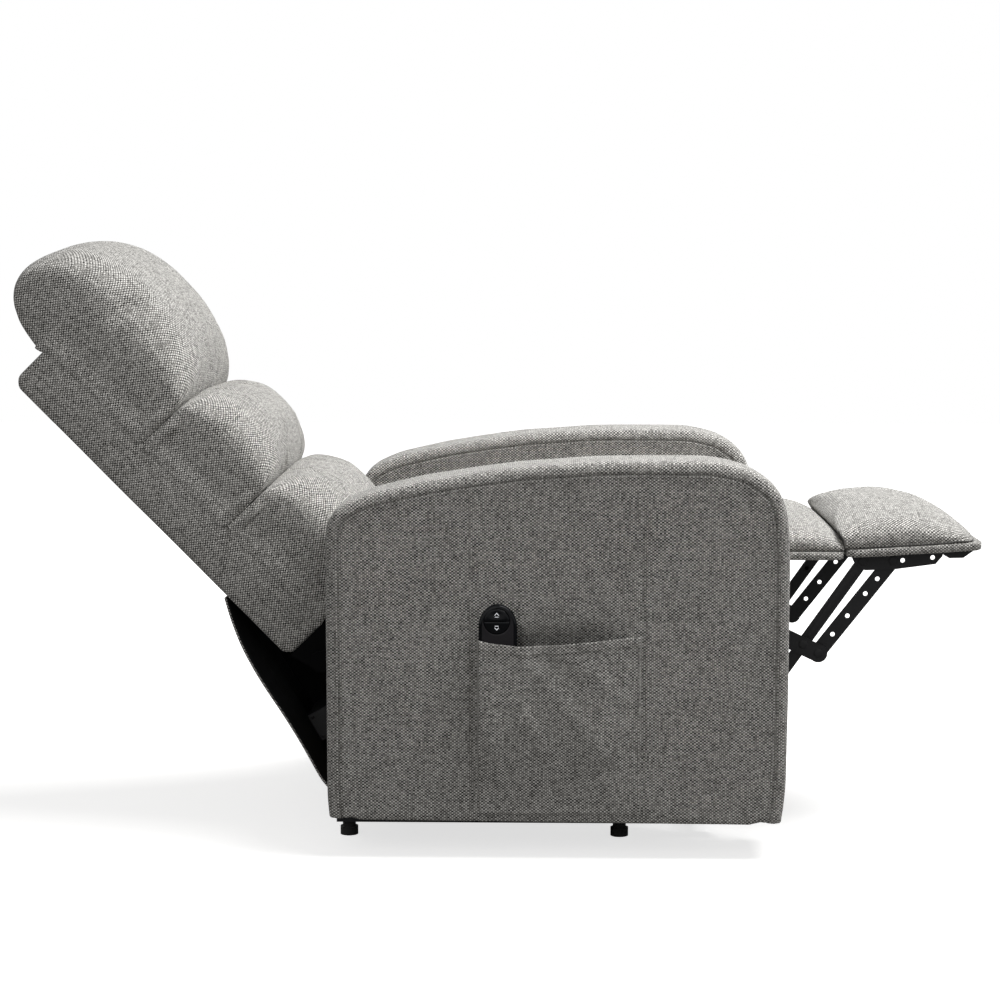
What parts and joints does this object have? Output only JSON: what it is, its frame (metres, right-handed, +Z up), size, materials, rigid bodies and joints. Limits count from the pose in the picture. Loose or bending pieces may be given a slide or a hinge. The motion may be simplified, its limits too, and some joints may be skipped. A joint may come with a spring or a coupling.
{
  "type": "lift recliner chair",
  "caption": "Padded armchair with a reclining pillow back, fold-out footrest, pocketed handset, and a steel base whose linkage raises and tips the seat forward.",
  "frame": {"origin": "middle of the bounding box on the floor, between the base rails", "axes": "+X to the front, over the footrest; +Z up; +Y to the sitter's left, away from the pocket"},
  "size_m": [1.607, 0.8188, 1.0062],
  "materials": {
    "upholstery": "heathered grey woven tweed",
    "frame_wood": "plain timber board",
    "glide_rubber": "black moulded",
    "housing_plastic": "dark grey moulded",
    "rod_steel": "ground bright",
    "spring_steel": "drawn wire",
    "handset_gloss": "gloss black",
    "button_gloss": "gloss black",
    "black_steel": "satin black powder coat"
  },
  "bodies": {
    "base": {"base_side_rail_left": "black_steel", "base_side_rail_right": "black_steel", "base_front_tube": "black_steel", "base_rear_tube": "black_steel", "floor_glide_front_left": "glide_rubber", "floor_glide_front_right": "glide_rubber", "floor_glide_rear_left": "glide_rubber", "floor_glide_rear_right": "glide_rubber", "base_bracket_left": "black_steel", "base_bracket_right": "black_steel"},
    "lift_arms": {"rear_lift_link_left": "black_steel", "rear_lift_link_right": "black_steel", "lift_torsion_tube": "black_steel"},
    "prop_arms": {"front_lift_link_left": "black_steel", "front_lift_link_right": "black_steel"},
    "actuator": {"actuator_housing": "housing_plastic", "actuator_motor": "housing_plastic"},
    "rod": {"actuator_rod": "rod_steel"},
    "chair": {"mounting_plate_left": "black_steel", "mounting_plate_right": "black_steel", "seat_front_tube": "black_steel", "seat_rear_tube": "black_steel", "seat_side_rail_left": "frame_wood", "seat_side_rail_right": "frame_wood", "rear_board": "frame_wood", "seat_springs": "spring_steel", "seat_cushion": "upholstery", "arm_left": "upholstery", "arm_right": "upholstery", "pocket_panel": "upholstery", "rear_flap": "upholstery", "power_supply": "housing_plastic", "supply_bracket": "black_steel", "hinge_plate_left": "black_steel", "hinge_plate_right": "black_steel"},
    "backrest": {"back_frame": "upholstery", "back_bracket_left": "black_steel", "back_bracket_right": "black_steel", "lumbar_pillow": "upholstery", "middle_pillow": "upholstery", "head_pillow": "upholstery"},
    "swing_links": {"footrest_drive_tube": "black_steel", "swing_link_left": "black_steel", "swing_link_right": "black_steel"},
    "long_links": {"long_link_left": "black_steel", "long_link_right": "black_steel"},
    "front_links": {"front_link_left": "black_steel", "front_link_right": "black_steel"},
    "guide_links": {"guide_link_left": "black_steel", "guide_link_right": "black_steel"},
    "footrest": {"footrest_bracket_left": "black_steel", "footrest_bracket_right": "black_steel", "footrest_board": "frame_wood", "calf_board": "frame_wood", "footrest_pad": "upholstery", "calf_pad": "upholstery"},
    "handset": {"handset": "handset_gloss"},
    "button_up": {"button_up": "button_gloss"},
    "button_down": {"button_down": "button_gloss"}
  },
  "joints": [
    {"name": "lift", "type": "hinge", "parent": "base", "child": "lift_arms", "pos_m": [0.2267, 0, 0.089], "axis": [0, 1, 0], "range_deg": [0, 44]},
    {"name": "seat_tilt", "type": "hinge", "parent": "lift_arms", "child": "chair", "pos_m": [-0.1385, 0, 0.0896], "axis": [0, 1, 0], "range_deg": [-20.4, 0]},
    {"name": "prop_swing", "type": "hinge", "parent": "base", "child": "prop_arms", "pos_m": [0.3015, 0, 0.1138], "axis": [0, 1, 0], "range_deg": [0, 51.9]},
    {"name": "actuator_swing", "type": "hinge", "parent": "base", "child": "actuator", "pos_m": [-0.19, 0, 0.11], "axis": [0, 1, 0], "range_deg": [0, 2.14]},
    {"name": "rod_extend", "type": "slide", "parent": "actuator", "child": "rod", "axis": [0.9775, 0, 0.2108], "range_m": [0, 0.08089]},
    {"name": "recline", "type": "hinge", "parent": "chair", "child": "backrest", "pos_m": [-0.296, 0, 0.3], "axis": [0, 1, 0], "range_deg": [0, 32], "deforming": ["rear_flap"]},
    {"name": "footrest_fold", "type": "hinge", "parent": "chair", "child": "swing_links", "pos_m": [0.3535, 0, 0.3948], "axis": [0, 1, 0], "range_deg": [0, 117]},
    {"name": "long_link_swing", "type": "hinge", "parent": "swing_links", "child": "long_links", "pos_m": [0.514, 0, 0.321], "axis": [0, 1, 0], "range_deg": [-60.14, 0]},
    {"name": "front_link_swing", "type": "hinge", "parent": "swing_links", "child": "front_links", "pos_m": [0.54, 0, 0.306], "axis": [0, 1, 0], "range_deg": [-53.69, 0]},
    {"name": "guide_link_swing", "type": "hinge", "parent": "chair", "child": "guide_links", "pos_m": [0.3006, 0, 0.3808], "axis": [0, 1, 0], "range_deg": [0, 110.6]},
    {"name": "footrest_tilt", "type": "hinge", "parent": "long_links", "child": "footrest", "pos_m": [0.613, 0, 0.463], "axis": [0, 1, 0], "range_deg": [0, 36.65]},
    {"name": "handset_lift", "type": "slide", "parent": "chair", "child": "handset", "axis": [0, 0, 1], "range_m": [0, 0.2]},
    {"name": "button_up_press", "type": "slide", "parent": "handset", "child": "button_up", "axis": [0, 1, 0], "range_m": [0, 0.001], "stiffness_N_per_m": 400},
    {"name": "button_down_press", "type": "slide", "parent": "handset", "child": "button_down", "axis": [0, 1, 0], "range_m": [0, 0.001], "stiffness_N_per_m": 400}
  ],
  "couplings": [
    {"joint": "seat_tilt", "follows": "lift", "ratio": -0.46364},
    {"joint": "prop_swing", "follows": "lift", "ratio": 1.1796},
    {"joint": "actuator_swing", "follows": "lift", "ratio": 0.04867},
    {"joint": "rod_extend", "follows": "lift", "m_per_rad": 0.10533},
    {"joint": "long_link_swing", "follows": "footrest_fold", "ratio": -0.514},
    {"joint": "front_link_swing", "follows": "footrest_fold", "ratio": -0.4589},
    {"joint": "guide_link_swing", "follows": "footrest_fold", "ratio": 0.9453},
    {"joint": "footrest_tilt", "follows": "footrest_fold", "ratio": 0.3132}
  ]
}
